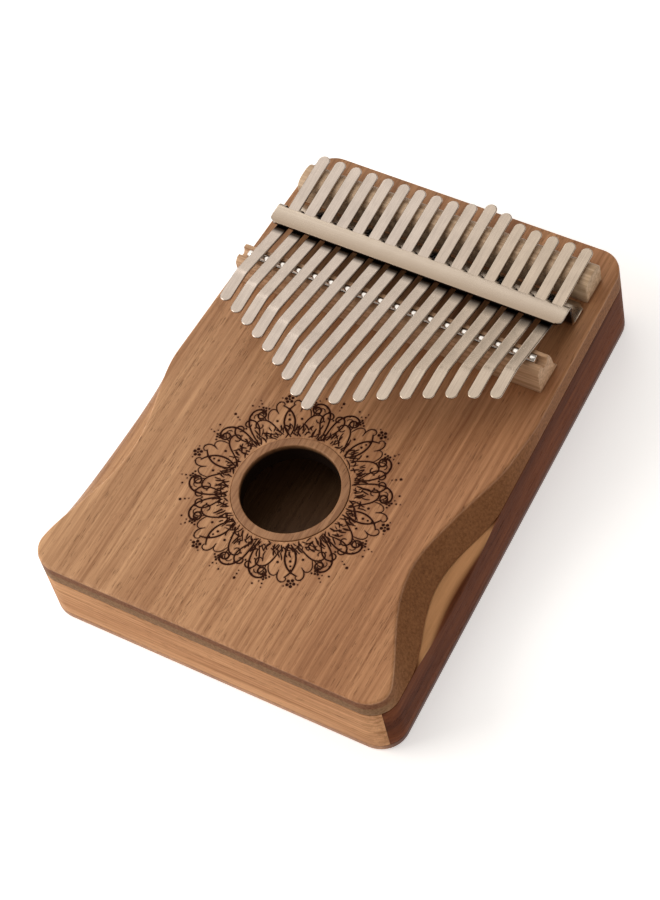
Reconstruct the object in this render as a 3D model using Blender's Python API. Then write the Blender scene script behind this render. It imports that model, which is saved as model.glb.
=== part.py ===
"""Mbira: a hollow wooden box with seventeen steel tines, built as separate pieces.

Lengths are metres. The origin is the centre of the underside, +Z is up out of the
sound board, +Y runs to the head (the end with the bridges) and +X is to the right
of somebody holding the tail end.
"""
import math

import bmesh
import bpy

# The box
LENGTH = 0.185
TAIL_WIDTH = 0.133
HEAD_WIDTH = 0.119
THICKNESS = 0.032
TOP_BOARD_THICK = 0.0083
BACK_BOARD_THICK = 0.003
WALL_THICK = 0.0095
CORNER_RADIUS = 0.0095
GLUE_GAP = 0.0003
MITRE_GAP = 0.0002

# The palm scoops, one on each long edge: the right one is cut down into the wall
SCOOP_CENTRE_Y = -0.0435
SCOOP_TOP_REACH = 0.0146
SCOOP_TOP_HALF_LENGTH = 0.048
SCOOP_GLUE_LINE_REACH = 0.0072
SCOOP_GLUE_LINE_HALF_LENGTH = 0.044
SCOOP_SHOULDER_DEPTH = 0.0056
# How the right wall's shoulder rounds in: (share of the depth below its top, share of the reach)
SCOOP_SHOULDER = ((1.0, 0.0), (0.62, 0.05), (0.34, 0.20), (0.0, 0.42))
# The left scoop only rolls the sound board's edge over: (depth below the face, reach there)
LEFT_SCOOP_HALF_LENGTH = 0.042
LEFT_SCOOP_ROLL = ((0.0, 0.0080), (0.0015, 0.0042), (0.0040, 0.0016), (0.0083, 0.0))

# The sound hole and the ring let in around it
HOLE_CENTRE_Y = -0.034
HOLE_RADIUS = 0.0170
RING_INNER_RADIUS = 0.0167
RING_OUTER_RADIUS = 0.0196
RING_DEPTH = 0.0020
RING_STAND_UP = 0.0003
RING_CHAMFER = 0.0006

# The tines
TINE_COUNT = 17
TINE_PITCH = 0.0063
TINE_WIDTH = 0.0042
TINE_THICK = 0.0009
LONGEST_TIP_Y = -0.0172
TIP_SPREAD = 0.0326
TIP_SPREAD_POWER = 0.8
TINE_HEAD_Y = 0.0834
TUNED_OUT_TINE = 11.2
TUNED_OUT_AMOUNT = 0.0040
TUNED_OUT_WIDTH = 1.2
TIP_FLAT_LENGTH = 0.012
TIP_FLAT_DROP = 0.0006
PLAYING_SLOPE = 0.25
BEND_HALF_LENGTH = 0.0026
END_ROUNDING_ANGLES = (8, 25, 45, 67, 90)

# Where the middle of a tine's thickness passes, above the sound board
HEAD_END_RISE = 0.0113
REAR_CREST = (0.0755, 0.0110)
PRESSED_POINT = (0.0535, 0.00945)
ROD_CROSSING = (0.0365, 0.0137)

# The rod and the two wooden bridges
ROD_RADIUS = 0.0015
ROD_HALF_LENGTH = 0.0545
ROD_RISE = 0.0114
ROD_GROOVE_RADIUS = 0.0018
FRONT_BRIDGE_HALF_LENGTH = 0.0575
FRONT_BRIDGE_TAIL_Y = 0.0319
FRONT_BRIDGE_HEAD_Y = 0.0440
FRONT_BRIDGE_HEIGHT = 0.0120
FRONT_BRIDGE_CHAMFER = 0.0014
# The hollow of the front bridge's head side: (set back from the foot, height)
FRONT_BRIDGE_HOLLOW = ((0.0013, 0.0022), (0.0022, 0.0050), (0.0030, 0.0085), (0.0047, 0.0120))
REAR_BRIDGE_HALF_LENGTH = 0.0555
REAR_BRIDGE_TAIL_Y = 0.0702
REAR_BRIDGE_HEAD_Y = 0.0808
REAR_BRIDGE_SHOULDER = 0.0070
REAR_BRIDGE_HEIGHT = 0.01025
REAR_BRIDGE_CROWN_POWER = 0.8
REAR_BRIDGE_CROWN_STEPS = 8

# The folded steel strip that holds the tines down
STRIP_HALF_LENGTH = 0.0555
SHEET_THICK = 0.0012
STRIP_TAIL_Y = 0.0515
WEB_TAIL_Y = 0.0590
FLANGE_HEAD_Y = 0.0686
STRIP_UNDERSIDE_RISE = 0.01070
FOLD_RADIUS = 0.0010
STRIP_CORNER_RADIUS = 0.0022
SLOT_WIDTH = 0.0049
SLOT_FLOOR_RISE = 0.0086
SLOT_TOP_CLEARANCE = 0.00005

# The screws through the strip's flange
SCREW_OFFSETS = (-0.044, -0.025, 0.0, 0.025, 0.044)
SCREW_Y = 0.0650
SCREW_SHANK_RADIUS = 0.0013
SCREW_HOLE_RADIUS = 0.0016
SCREW_HEAD_RADIUS = 0.0026
SCREW_HEAD_HEIGHT = 0.0012
SCREW_LENGTH = 0.0065
SCREW_POINT_LENGTH = 0.0010
SCREW_POINT_SHARE = 0.5
SCREW_DOME_SHARE = 0.70

# Fineness of the meshes, and how far a cutter runs past what it cuts
SIDE_STEPS = 44
CORNER_STEPS = 8
ROUND_STEPS = 56
SCREW_STEPS = 20
CUTTER_OVERRUN = 0.003


def clear_scene():
    """Remove whatever the scene holds."""
    for item in list(bpy.data.objects):
        bpy.data.objects.remove(item, do_unlink=True)


def new_collection(name):
    """Make a collection and link it to the scene."""
    collection = bpy.data.collections.new(name)
    bpy.context.scene.collection.children.link(collection)
    return collection


def new_material(name, colour, roughness, metallic=0.0):
    """Make a plain Principled material."""
    material = bpy.data.materials.new(name)
    material.use_nodes = True
    shader = material.node_tree.nodes["Principled BSDF"]
    shader.inputs["Base Color"].default_value = (*colour, 1.0)
    shader.inputs["Roughness"].default_value = roughness
    shader.inputs["Metallic"].default_value = metallic
    return material


def new_object(name, vertices, faces, collection, material=None):
    """Make a mesh object with its faces turned outwards."""
    mesh = bpy.data.meshes.new(name)
    mesh.from_pydata(vertices, [], faces)
    shell = bmesh.new()
    shell.from_mesh(mesh)
    bmesh.ops.recalc_face_normals(shell, faces=shell.faces)
    shell.to_mesh(mesh)
    shell.free()
    item = bpy.data.objects.new(name, mesh)
    collection.objects.link(item)
    if material is not None:
        mesh.materials.append(material)
    return item


def loft(name, rings, collection, material=None):
    """Join equal rings of points by quads and close both ends."""
    count = len(rings[0])
    vertices = [point for ring in rings for point in ring]
    faces = []
    for level in range(len(rings) - 1):
        low = level * count
        high = low + count
        for index in range(count):
            after = (index + 1) % count
            faces.append((low + index, low + after, high + after, high + index))
    faces.append(tuple(range(count)))
    faces.append(tuple(range((len(rings) - 1) * count, len(rings) * count)))
    return new_object(name, vertices, faces, collection, material)


def extrude_section(name, section, half_length, collection, material=None):
    """Run a section of (y, z) points along X from end to end."""
    rings = []
    for x in (-half_length, half_length):
        rings.append([(x, y, z) for y, z in section])
    return loft(name, rings, collection, material)


def round_solid(name, profile, centre, collection, material=None):
    """Turn a closed profile of (radius, height) points around a vertical axis."""
    count = len(profile)
    vertices = []
    for step in range(ROUND_STEPS):
        angle = 2 * math.pi * step / ROUND_STEPS
        for radius, height in profile:
            x = centre[0] + radius * math.cos(angle)
            y = centre[1] + radius * math.sin(angle)
            vertices.append((x, y, centre[2] + height))
    faces = []
    for step in range(ROUND_STEPS):
        here = step * count
        there = (step + 1) % ROUND_STEPS * count
        for index in range(count):
            after = (index + 1) % count
            faces.append((here + index, there + index, there + after, here + after))
    return new_object(name, vertices, faces, collection, material)


def pin(name, levels, centre, steps, collection, material=None):
    """Make an upright round solid from (radius, height) levels, bottom to top."""
    rings = []
    for radius, z in levels:
        ring = []
        for step in range(steps):
            angle = 2 * math.pi * step / steps
            ring.append((centre[0] + radius * math.cos(angle), centre[1] + radius * math.sin(angle), z))
        rings.append(ring)
    return loft(name, rings, collection, material)


def cut(item, cutter):
    """Take a cutter away from an object."""
    modifier = item.modifiers.new("cut_" + cutter.name, "BOOLEAN")
    modifier.operation = "DIFFERENCE"
    modifier.solver = "EXACT"
    modifier.object = cutter


def smooth(item, angle=35):
    """Shade an object smooth up to the given edge angle in degrees."""
    item.data.shade_smooth()
    item.data.set_sharp_from_angle(angle=math.radians(angle))


def hide_as_cutter(item):
    """Show a cutter as wire and keep it out of renders."""
    item.hide_render = True
    item.display_type = "WIRE"


def half_width(y):
    """Half of the box's width at a place along its length."""
    share = (y + LENGTH / 2) / LENGTH
    return (TAIL_WIDTH + (HEAD_WIDTH - TAIL_WIDTH) * share) / 2


def scoop(y, reach, half_length):
    """How far a scoop comes in from the edge at a place along the length."""
    offset = (y - SCOOP_CENTRE_Y) / half_length
    if abs(offset) >= 1:
        return 0.0
    return reach * (1 - offset * offset) ** 2


def top_inset(y):
    """The scoop's reach on the face of the sound board."""
    return scoop(y, SCOOP_TOP_REACH, SCOOP_TOP_HALF_LENGTH)


def glue_line_inset(y):
    """The scoop's reach on the underside of the sound board."""
    return scoop(y, SCOOP_GLUE_LINE_REACH, SCOOP_GLUE_LINE_HALF_LENGTH)


def right_inset(depth):
    """The right scoop at a depth below the face: straight from the face to the glue line."""
    share = depth / TOP_BOARD_THICK
    return lambda y: top_inset(y) * (1 - share) + glue_line_inset(y) * share


def left_inset(reach):
    """The left scoop where it reaches in by a given amount."""
    return lambda y: scoop(y, reach, LEFT_SCOOP_HALF_LENGTH)


def no_inset(y):
    """The full outline."""
    return 0.0


def edge_point(u, y, inset):
    """Place a point of the rounded outline on the tapering box."""
    middle = (TAIL_WIDTH + HEAD_WIDTH) / 4
    x = u * half_width(y) / middle
    return x - inset(y) * u / middle, y


def right_edge(inset, trim=0.0):
    """Outline of the right wall, from the middle of one corner to the next."""
    middle = (TAIL_WIDTH + HEAD_WIDTH) / 4
    straight = LENGTH / 2 - CORNER_RADIUS
    points = []
    start = trim / CORNER_RADIUS
    for step in range(CORNER_STEPS + 1):
        angle = -math.pi / 4 + start + (math.pi / 4 - start) * step / CORNER_STEPS
        u = middle - CORNER_RADIUS + CORNER_RADIUS * math.cos(angle)
        points.append(edge_point(u, -straight + CORNER_RADIUS * math.sin(angle), inset))
    for step in range(1, SIDE_STEPS):
        points.append(edge_point(middle, -straight + 2 * straight * step / SIDE_STEPS, inset))
    for step in range(CORNER_STEPS + 1):
        angle = (math.pi / 4 - start) * step / CORNER_STEPS
        u = middle - CORNER_RADIUS + CORNER_RADIUS * math.cos(angle)
        points.append(edge_point(u, straight + CORNER_RADIUS * math.sin(angle), inset))
    return points


def head_edge(inset, trim=0.0):
    """Outline of the head wall, from the middle of one corner to the next."""
    middle = (TAIL_WIDTH + HEAD_WIDTH) / 4
    straight = LENGTH / 2 - CORNER_RADIUS
    points = []
    start = trim / CORNER_RADIUS
    for side in (1, -1):
        arc = []
        for step in range(CORNER_STEPS + 1):
            angle = math.pi / 4 + start + (math.pi / 4 - start) * step / CORNER_STEPS
            u = side * (middle - CORNER_RADIUS + CORNER_RADIUS * math.cos(angle))
            arc.append(edge_point(u, straight + CORNER_RADIUS * math.sin(angle), inset))
        points += arc if side == 1 else arc[::-1]
    return points


def tail_edge(inset, trim=0.0):
    """Outline of the tail wall, from the middle of one corner to the next."""
    middle = (TAIL_WIDTH + HEAD_WIDTH) / 4
    straight = LENGTH / 2 - CORNER_RADIUS
    points = []
    start = trim / CORNER_RADIUS
    for side in (-1, 1):
        arc = []
        for step in range(CORNER_STEPS + 1):
            angle = math.pi / 4 + start + (math.pi / 4 - start) * step / CORNER_STEPS
            u = side * (middle - CORNER_RADIUS + CORNER_RADIUS * math.cos(angle))
            arc.append(edge_point(u, -straight - CORNER_RADIUS * math.sin(angle), inset))
        points += arc if side == -1 else arc[::-1]
    return points


def whole_outline(right_scoop=no_inset, left_scoop=no_inset):
    """The closed outline, anticlockwise from the tail-right corner."""
    right = right_edge(right_scoop)
    head = head_edge(no_inset)
    left = [(-x, y) for x, y in reversed(right_edge(left_scoop))]
    tail = tail_edge(no_inset)
    points = []
    for edge in (right, head, left, tail):
        points += edge[:-1]
    return points


def flat_ring(points, z):
    """Lift plan points to one height."""
    return [(x, y, z) for x, y in points]


def arc_points(centre, radius, start, end, steps):
    """Points of an arc in a section, angles in degrees."""
    points = []
    for step in range(steps + 1):
        angle = math.radians(start + (end - start) * step / steps)
        points.append((centre[0] + radius * math.cos(angle), centre[1] + radius * math.sin(angle)))
    return points


def tine_offset(number):
    """Sideways place of a tine, numbered from the left."""
    return (number - (TINE_COUNT + 1) / 2) * TINE_PITCH


def tip_y(number):
    """Where a tine's tip ends: notes climb alternately left and right of the middle."""
    steps = number - (TINE_COUNT + 1) // 2
    rank = 2 * steps if steps >= 0 else -2 * steps - 1
    return LONGEST_TIP_Y + TIP_SPREAD * (rank / (TINE_COUNT - 1)) ** TIP_SPREAD_POWER


def head_y(number):
    """Where a tine's head end stops: a few are pushed further back in tuning."""
    away = (number - TUNED_OUT_TINE) / TUNED_OUT_WIDTH
    return TINE_HEAD_Y + TUNED_OUT_AMOUNT * math.exp(-away * away)


def bend(before, corner, after):
    """Replace a corner of a path by a short curve."""
    def toward(target):
        run = math.hypot(target[0] - corner[0], target[1] - corner[1])
        share = BEND_HALF_LENGTH / run
        return (corner[0] + (target[0] - corner[0]) * share, corner[1] + (target[1] - corner[1]) * share)

    start = toward(before)
    end = toward(after)
    points = []
    for t in (0.0, 0.25, 0.5, 0.75, 1.0):
        y = (1 - t) ** 2 * start[0] + 2 * t * (1 - t) * corner[0] + t * t * end[0]
        z = (1 - t) ** 2 * start[1] + 2 * t * (1 - t) * corner[1] + t * t * end[1]
        points.append((y, z))
    return points


def tine_path(number):
    """The middle line of a tine from its head end to its tip, as (y, z) points."""
    tip = tip_y(number)
    flat_start_y = tip + TIP_FLAT_LENGTH
    flat_start_rise = ROD_CROSSING[1] + PLAYING_SLOPE * (ROD_CROSSING[0] - flat_start_y)
    corners = [
        (head_y(number), HEAD_END_RISE),
        REAR_CREST,
        PRESSED_POINT,
        ROD_CROSSING,
        (flat_start_y, flat_start_rise),
        (tip, flat_start_rise - TIP_FLAT_DROP),
    ]
    path = [corners[0]]
    for index in range(1, len(corners) - 1):
        path += bend(corners[index - 1], corners[index], corners[index + 1])
    path.append(corners[-1])
    return [(y, THICKNESS + rise) for y, rise in path]


def add_end_stations(path):
    """Add stations at both ends so that a tine can be rounded off there."""
    radius = TINE_WIDTH / 2

    def end_stations(end, inner):
        run = math.hypot(inner[0] - end[0], inner[1] - end[1])
        stations = []
        for angle in END_ROUNDING_ANGLES:
            along = radius * (1 - math.cos(math.radians(angle)))
            width = radius * math.sin(math.radians(angle))
            y = end[0] + (inner[0] - end[0]) * along / run
            z = end[1] + (inner[1] - end[1]) * along / run
            stations.append((y, z, width))
        return stations

    middle = [(y, z, radius) for y, z in path[1:-1]]
    return end_stations(path[0], path[1]) + middle + end_stations(path[-1], path[-2])[::-1]


def tine(number, collection, material):
    """One steel tine with its origin on the line where it rocks on the rod."""
    stations = add_end_stations(tine_path(number))
    pivot_z = THICKNESS + ROD_CROSSING[1] - TINE_THICK / 2
    rings = []
    for index, (y, z, width) in enumerate(stations):
        before = stations[max(index - 1, 0)]
        after = stations[min(index + 1, len(stations) - 1)]
        run = math.hypot(after[0] - before[0], after[1] - before[1])
        across = (-(after[1] - before[1]) / run, (after[0] - before[0]) / run)
        ring = []
        for side, face in ((-1, -1), (1, -1), (1, 1), (-1, 1)):
            ring_y = y + across[0] * face * TINE_THICK / 2 - ROD_CROSSING[0]
            ring_z = z + across[1] * face * TINE_THICK / 2 - pivot_z
            ring.append((side * width, ring_y, ring_z))
        rings.append(ring)
    item = loft(f"tine_{number:02d}", rings, collection, material)
    item.location = (tine_offset(number), ROD_CROSSING[0], pivot_z)
    smooth(item)
    return item


def build_box(parts, cutters):
    """The sound board, the back board, the four walls and the ring."""
    wood = new_material("top_board_wood", (0.40, 0.21, 0.105), 0.50)
    wall_bottom = BACK_BOARD_THICK + GLUE_GAP
    wall_top = THICKNESS - TOP_BOARD_THICK - GLUE_GAP

    rings = []
    for depth, left_reach in reversed(LEFT_SCOOP_ROLL):
        outline = whole_outline(right_inset(depth), left_inset(left_reach))
        rings.append(flat_ring(outline, THICKNESS - depth))
    top_board = loft("top_board", rings, parts, wood)
    hole_centre = (0.0, HOLE_CENTRE_Y)
    above = THICKNESS + CUTTER_OVERRUN
    levels = [(HOLE_RADIUS, wall_top - CUTTER_OVERRUN), (HOLE_RADIUS, above)]
    hole = pin("sound_hole_cutter", levels, hole_centre, ROUND_STEPS, cutters)
    rebate_radius = RING_OUTER_RADIUS + GLUE_GAP
    levels = [(rebate_radius, THICKNESS - RING_DEPTH - GLUE_GAP), (rebate_radius, above)]
    rebate = pin("ring_rebate_cutter", levels, hole_centre, ROUND_STEPS, cutters)
    for cutter in (hole, rebate):
        hide_as_cutter(cutter)
        cut(top_board, cutter)

    back_wood = new_material("back_board_wood", (0.30, 0.15, 0.075), 0.55)
    outline = whole_outline()
    rings = [flat_ring(outline, 0.0), flat_ring(outline, BACK_BOARD_THICK)]
    smooth(loft("back_board", rings, parts, back_wood))

    inner_y = LENGTH / 2 - WALL_THICK

    def inner_x(y):
        return half_width(y) - WALL_THICK

    shoulder_levels = [(wall_bottom, 0.0)]
    for depth_share, reach_share in SCOOP_SHOULDER:
        shoulder_levels.append((wall_top - SCOOP_SHOULDER_DEPTH * depth_share, reach_share))
    side_wood = new_material("side_board_wood", (0.16, 0.055, 0.026), 0.45)
    for name, side in (("right_side_board", 1), ("left_side_board", -1)):
        rings = []
        for z, share in shoulder_levels:
            reach = share if side == 1 else 0.0
            outer = right_edge(lambda y, reach=reach: glue_line_inset(y) * reach, MITRE_GAP)
            inner = [
                (inner_x(inner_y), inner_y - MITRE_GAP),
                (inner_x(-inner_y), -inner_y + MITRE_GAP),
            ]
            rings.append([(side * x, y, z) for x, y in outer + inner])
        smooth(loft(name, rings, parts, side_wood))

    end_wood = new_material("end_board_wood", (0.42, 0.20, 0.095), 0.50)
    for name, edge, y in (("head_board", head_edge, inner_y), ("tail_board", tail_edge, -inner_y)):
        outer = edge(no_inset, MITRE_GAP)
        side = 1 if y > 0 else -1
        inner = [
            (-side * (inner_x(y) - MITRE_GAP), y),
            (side * (inner_x(y) - MITRE_GAP), y),
        ]
        rings = [flat_ring(outer + inner, z) for z in (wall_bottom, wall_top)]
        smooth(loft(name, rings, parts, end_wood))

    ring_wood = new_material("sound_hole_ring_wood", (0.42, 0.24, 0.12), 0.45)
    profile = [
        (RING_INNER_RADIUS, -RING_DEPTH),
        (RING_OUTER_RADIUS, -RING_DEPTH),
        (RING_OUTER_RADIUS, RING_STAND_UP - RING_CHAMFER / 3),
        (RING_OUTER_RADIUS - RING_CHAMFER / 3, RING_STAND_UP),
        (RING_INNER_RADIUS + RING_CHAMFER, RING_STAND_UP),
        (RING_INNER_RADIUS, RING_STAND_UP - RING_CHAMFER),
    ]
    ring = round_solid("sound_hole_ring", profile, (0.0, HOLE_CENTRE_Y, THICKNESS), parts, ring_wood)
    smooth(ring)
    smooth(top_board)
    return top_board


def build_bridges(parts):
    """The two wooden bridges and the rod that the tines rock on."""
    pale_wood = new_material("rear_bridge_wood", (0.62, 0.42, 0.25), 0.50)
    base = THICKNESS + GLUE_GAP
    middle = (REAR_BRIDGE_TAIL_Y + REAR_BRIDGE_HEAD_Y) / 2
    half = (REAR_BRIDGE_HEAD_Y - REAR_BRIDGE_TAIL_Y) / 2
    section = [(REAR_BRIDGE_TAIL_Y, base), (REAR_BRIDGE_HEAD_Y, base)]
    crown_height = REAR_BRIDGE_HEIGHT - REAR_BRIDGE_SHOULDER
    for step in range(REAR_BRIDGE_CROWN_STEPS + 1):
        angle = math.pi * step / REAR_BRIDGE_CROWN_STEPS
        rise = max(math.sin(angle), 0.0) ** REAR_BRIDGE_CROWN_POWER
        z = THICKNESS + REAR_BRIDGE_SHOULDER + crown_height * rise
        section.append((middle + half * math.cos(angle), z))
    rear_bridge = extrude_section("rear_bridge", section, REAR_BRIDGE_HALF_LENGTH, parts, pale_wood)
    smooth(rear_bridge)

    front_wood = new_material("front_bridge_wood", (0.64, 0.44, 0.26), 0.50)
    top = THICKNESS + FRONT_BRIDGE_HEIGHT
    rod_y = ROD_CROSSING[0]
    rod_z = THICKNESS + ROD_RISE
    lip = math.degrees(math.asin((top - rod_z) / ROD_GROOVE_RADIUS))
    section = [(FRONT_BRIDGE_TAIL_Y, base), (FRONT_BRIDGE_HEAD_Y, base)]
    for set_back, height in FRONT_BRIDGE_HOLLOW:
        section.append((FRONT_BRIDGE_HEAD_Y - set_back, THICKNESS + height))
    section += arc_points((rod_y, rod_z), ROD_GROOVE_RADIUS, lip, -180 - lip, 12)
    section += [
        (FRONT_BRIDGE_TAIL_Y + FRONT_BRIDGE_CHAMFER, top),
        (FRONT_BRIDGE_TAIL_Y, top - FRONT_BRIDGE_CHAMFER),
    ]
    front_bridge = extrude_section("front_bridge", section, FRONT_BRIDGE_HALF_LENGTH, parts, front_wood)
    smooth(front_bridge, 25)

    steel = new_material("bridge_rod_steel", (0.72, 0.70, 0.67), 0.22, 1.0)
    section = arc_points((rod_y, rod_z), ROD_RADIUS, 0, 360, 24)[:-1]
    rod = extrude_section("bridge_rod", section, ROD_HALF_LENGTH, parts, steel)
    smooth(rod)


def strip_section():
    """The folded sheet seen from its end: a flange, an upright web and the strip."""
    low = THICKNESS + GLUE_GAP
    under = THICKNESS + STRIP_UNDERSIDE_RISE
    web_head_y = WEB_TAIL_Y + SHEET_THICK
    outer = FOLD_RADIUS + SHEET_THICK
    section = [(FLANGE_HEAD_Y, low), (FLANGE_HEAD_Y, low + SHEET_THICK)]
    centre = (web_head_y + FOLD_RADIUS, low + outer)
    section += arc_points(centre, FOLD_RADIUS, 270, 180, 4)
    centre_top = (WEB_TAIL_Y - FOLD_RADIUS, under - FOLD_RADIUS)
    section += arc_points(centre_top, outer, 0, 90, 6)
    section += [(STRIP_TAIL_Y, under + SHEET_THICK), (STRIP_TAIL_Y, under)]
    section += arc_points(centre_top, FOLD_RADIUS, 90, 0, 4)
    section += arc_points(centre, outer, 180, 270, 6)
    return section


def round_strip_corners(item):
    """Round the four free corners of the strip and of its flange in plan."""
    shell = bmesh.new()
    shell.from_mesh(item.data)
    corners = []
    for edge in shell.edges:
        first, second = edge.verts
        upright = abs(first.co.y - second.co.y) < 1e-6 and abs(first.co.x - second.co.x) < 1e-6
        free = min(abs(first.co.y - STRIP_TAIL_Y), abs(first.co.y - FLANGE_HEAD_Y)) < 1e-6
        if upright and free:
            corners.append(edge)
    bmesh.ops.bevel(shell, geom=corners, offset=STRIP_CORNER_RADIUS, segments=4, profile=0.5,
                    affect="EDGES")
    shell.to_mesh(item.data)
    shell.free()


def build_strip(parts, cutters, top_board):
    """The folded strip with a slot for every tine, and its screws."""
    steel = new_material("pressure_strip_steel", (0.66, 0.58, 0.50), 0.28, 1.0)
    strip = extrude_section("pressure_strip", strip_section(), STRIP_HALF_LENGTH, parts, steel)
    round_strip_corners(strip)

    vertices = []
    faces = []
    slot_top = THICKNESS + STRIP_UNDERSIDE_RISE - SLOT_TOP_CLEARANCE
    for number in range(1, TINE_COUNT + 1):
        start = len(vertices)
        for x in (-SLOT_WIDTH / 2, SLOT_WIDTH / 2):
            for y in (WEB_TAIL_Y - CUTTER_OVERRUN, WEB_TAIL_Y + SHEET_THICK + CUTTER_OVERRUN):
                for z in (THICKNESS + SLOT_FLOOR_RISE, slot_top):
                    vertices.append((tine_offset(number) + x, y, z))
        for corners in ((0, 1, 3, 2), (4, 6, 7, 5), (0, 4, 5, 1), (2, 3, 7, 6), (0, 2, 6, 4), (1, 5, 7, 3)):
            faces.append(tuple(start + corner for corner in corners))
    slots = new_object("slot_cutter", vertices, faces, cutters)
    hide_as_cutter(slots)
    cut(strip, slots)

    dark_steel = (0.05, 0.05, 0.05)
    flange_top = THICKNESS + GLUE_GAP + SHEET_THICK
    for index, x in enumerate(SCREW_OFFSETS, start=1):
        levels = [
            (SCREW_HOLE_RADIUS, flange_top - SCREW_LENGTH - GLUE_GAP),
            (SCREW_HOLE_RADIUS, flange_top + CUTTER_OVERRUN),
        ]
        hole = pin(f"screw_hole_cutter_{index}", levels, (x, SCREW_Y), SCREW_STEPS, cutters)
        hide_as_cutter(hole)
        cut(strip, hole)
        cut(top_board, hole)
        seat = flange_top + GLUE_GAP
        levels = [
            (SCREW_SHANK_RADIUS * SCREW_POINT_SHARE, flange_top - SCREW_LENGTH),
            (SCREW_SHANK_RADIUS, flange_top - SCREW_LENGTH + SCREW_POINT_LENGTH),
            (SCREW_SHANK_RADIUS, seat),
            (SCREW_HEAD_RADIUS, seat),
            (SCREW_HEAD_RADIUS, seat + SCREW_HEAD_HEIGHT / 2),
            (SCREW_HEAD_RADIUS * SCREW_DOME_SHARE, seat + SCREW_HEAD_HEIGHT),
        ]
        material = new_material(f"strip_screw_{index}_steel", dark_steel, 0.40, 0.8)
        screw = pin(f"strip_screw_{index}", levels, (x, SCREW_Y), SCREW_STEPS, parts, material)
        smooth(screw)


def build_tines(parts):
    """All the tines, each with its own steel."""
    for number in range(1, TINE_COUNT + 1):
        material = new_material(f"tine_{number:02d}_steel", (0.66, 0.58, 0.51), 0.30, 1.0)
        tine(number, parts, material)


def main():
    clear_scene()
    parts = new_collection("mbira")
    cutters = new_collection("cutters")
    top_board = build_box(parts, cutters)
    build_bridges(parts)
    build_strip(parts, cutters, top_board)
    build_tines(parts)


main()
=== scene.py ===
# %% [markdown]
# # A mbira, piece by piece
# The instrument is a hollow box with a thick sound board, four walls and a back. Seventeen flat
# steel tines lie over a wooden rear bridge, pass under a folded steel strip that presses them
# down, and rise over a rod on the front bridge toward the thumbs. The measured model already
# says where every part is, so this lesson only makes each part look like its real material.
# Everything is in metres, with Z up and Y toward the head of the instrument.

# %% Load the frame
import math

import bmesh
import bpy
import numpy as np
from mathutils import Matrix, Vector


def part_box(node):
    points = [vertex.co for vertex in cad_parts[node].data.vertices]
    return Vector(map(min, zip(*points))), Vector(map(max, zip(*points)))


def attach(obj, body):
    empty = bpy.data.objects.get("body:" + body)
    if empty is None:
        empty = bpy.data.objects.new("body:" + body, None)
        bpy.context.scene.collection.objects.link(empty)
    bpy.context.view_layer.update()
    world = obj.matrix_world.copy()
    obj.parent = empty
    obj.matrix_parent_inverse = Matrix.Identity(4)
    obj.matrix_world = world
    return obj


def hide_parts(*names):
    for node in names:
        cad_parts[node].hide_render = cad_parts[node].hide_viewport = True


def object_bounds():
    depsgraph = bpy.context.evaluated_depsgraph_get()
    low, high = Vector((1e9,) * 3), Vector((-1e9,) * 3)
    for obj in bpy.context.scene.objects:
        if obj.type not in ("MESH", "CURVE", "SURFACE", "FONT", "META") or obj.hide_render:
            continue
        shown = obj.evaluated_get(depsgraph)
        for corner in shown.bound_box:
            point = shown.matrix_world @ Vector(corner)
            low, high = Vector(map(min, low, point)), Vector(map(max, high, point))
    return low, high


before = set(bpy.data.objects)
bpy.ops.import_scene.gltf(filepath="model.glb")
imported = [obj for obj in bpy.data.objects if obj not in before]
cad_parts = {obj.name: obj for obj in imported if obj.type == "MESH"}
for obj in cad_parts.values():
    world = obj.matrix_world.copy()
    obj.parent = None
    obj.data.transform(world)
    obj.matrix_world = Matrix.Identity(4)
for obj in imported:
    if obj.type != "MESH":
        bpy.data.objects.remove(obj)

MM = 0.001
cad_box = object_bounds()
print("model box in millimetres:", np.round(np.array(cad_box) / MM, 1).tolist())

# %% [markdown]
# ## Surfaces from arrays
# A wooden board, a bent tine and a lathe-turned ring can all be described in the same way: a
# grid of points, where one direction goes around the piece and the other goes across it. They
# could be modelled by hand from primitives, but a formula keeps every edge rounding exact and
# easy to change. One helper turns such a grid into a mesh, closes it, and makes it face outwards.

# %% Put a grid of points into a mesh
def grid_quads(rows, columns, wrap_rows, wrap_columns):
    """Corner numbers of every quad: each point joined with its next row and next column."""
    row = np.arange(rows if wrap_rows else rows - 1)[:, None]
    column = np.arange(columns if wrap_columns else columns - 1)[None, :]
    next_row = (row + 1) % rows
    next_column = (column + 1) % columns
    corners = [row * columns + column, row * columns + next_column]
    corners += [next_row * columns + next_column, next_row * columns + column]
    return np.stack(np.broadcast_arrays(*corners), axis=-1).reshape(-1, 4)


def put_in_scene(name, data):
    """Make an object of a mesh, a light or a camera, and show it."""
    item = bpy.data.objects.new(name, data)
    bpy.context.scene.collection.objects.link(item)
    return item


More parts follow.
